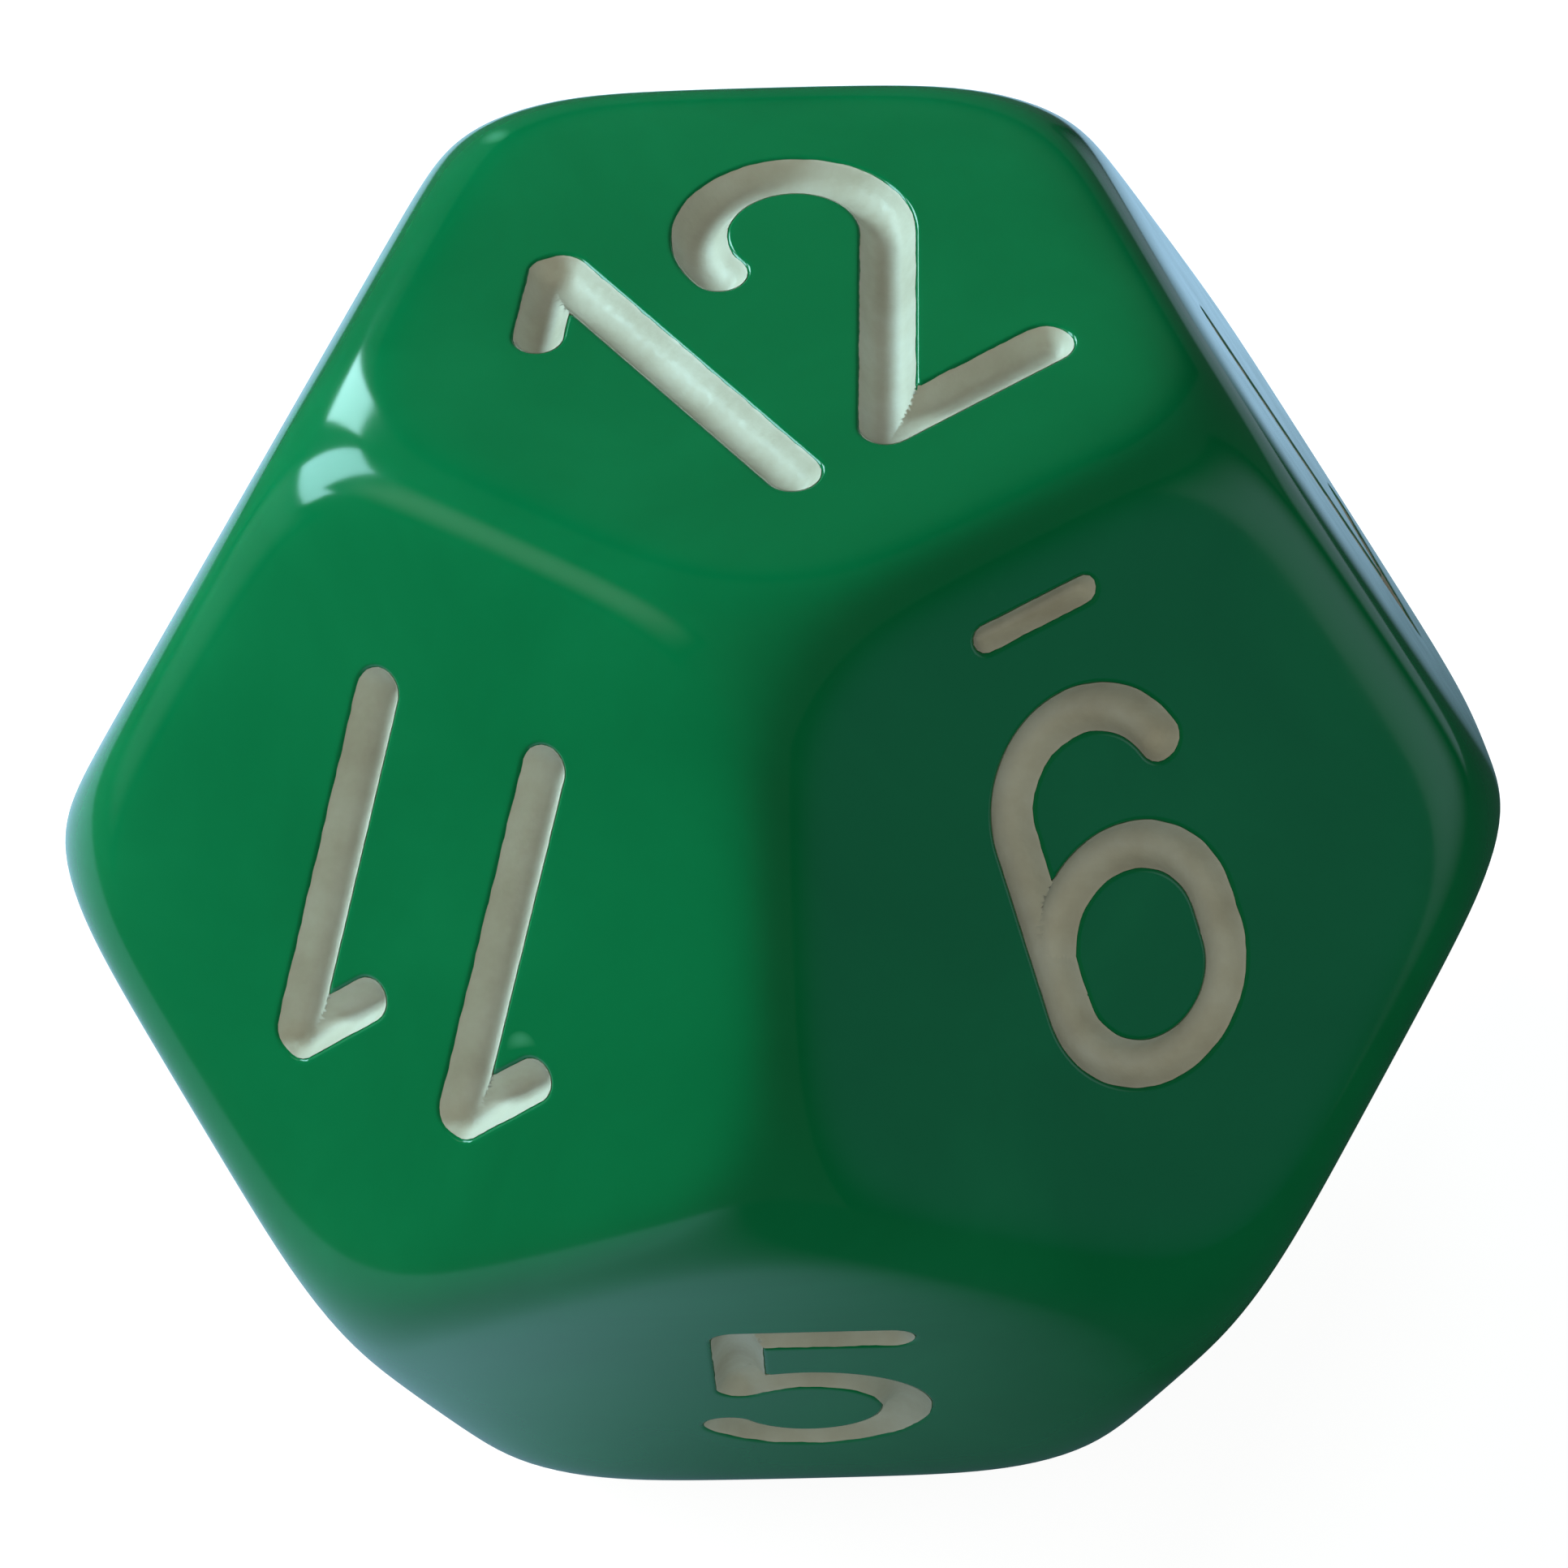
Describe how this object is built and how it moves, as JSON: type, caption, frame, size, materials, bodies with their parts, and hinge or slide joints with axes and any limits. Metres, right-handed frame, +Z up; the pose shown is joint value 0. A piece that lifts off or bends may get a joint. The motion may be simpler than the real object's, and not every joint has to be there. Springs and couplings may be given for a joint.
{
  "type": "dodecahedral die",
  "caption": "Playing die: a rounded regular dodecahedron of moulded green plastic, thrown to pick a number, with engraved numerals that are filled with paint.",
  "frame": {"origin": "centre of the flat face that the die rests on (the one numbered 1), directly under the die's middle", "axes": "+Z up through the face numbered 12, which is level; the face numbered 5 leans out over -Y; +X to its right"},
  "size_m": [0.0212, 0.0216, 0.0185],
  "materials": {
    "body_plastic": "polished, slightly translucent green",
    "numeral_paint": "dried satin paint, pale grey-green white"
  },
  "bodies": {
    "root": {"moulded_body": "body_plastic", "paint_1": "numeral_paint", "paint_2": "numeral_paint", "paint_3": "numeral_paint", "paint_4": "numeral_paint", "paint_5": "numeral_paint", "paint_6": "numeral_paint", "paint_6_bar": "numeral_paint", "paint_7": "numeral_paint", "paint_8": "numeral_paint", "paint_9": "numeral_paint", "paint_9_bar": "numeral_paint", "paint_10_one": "numeral_paint", "paint_10_zero": "numeral_paint", "paint_11_first": "numeral_paint", "paint_11_second": "numeral_paint", "paint_12_one": "numeral_paint", "paint_12_two": "numeral_paint"}
  },
  "joints": []
}
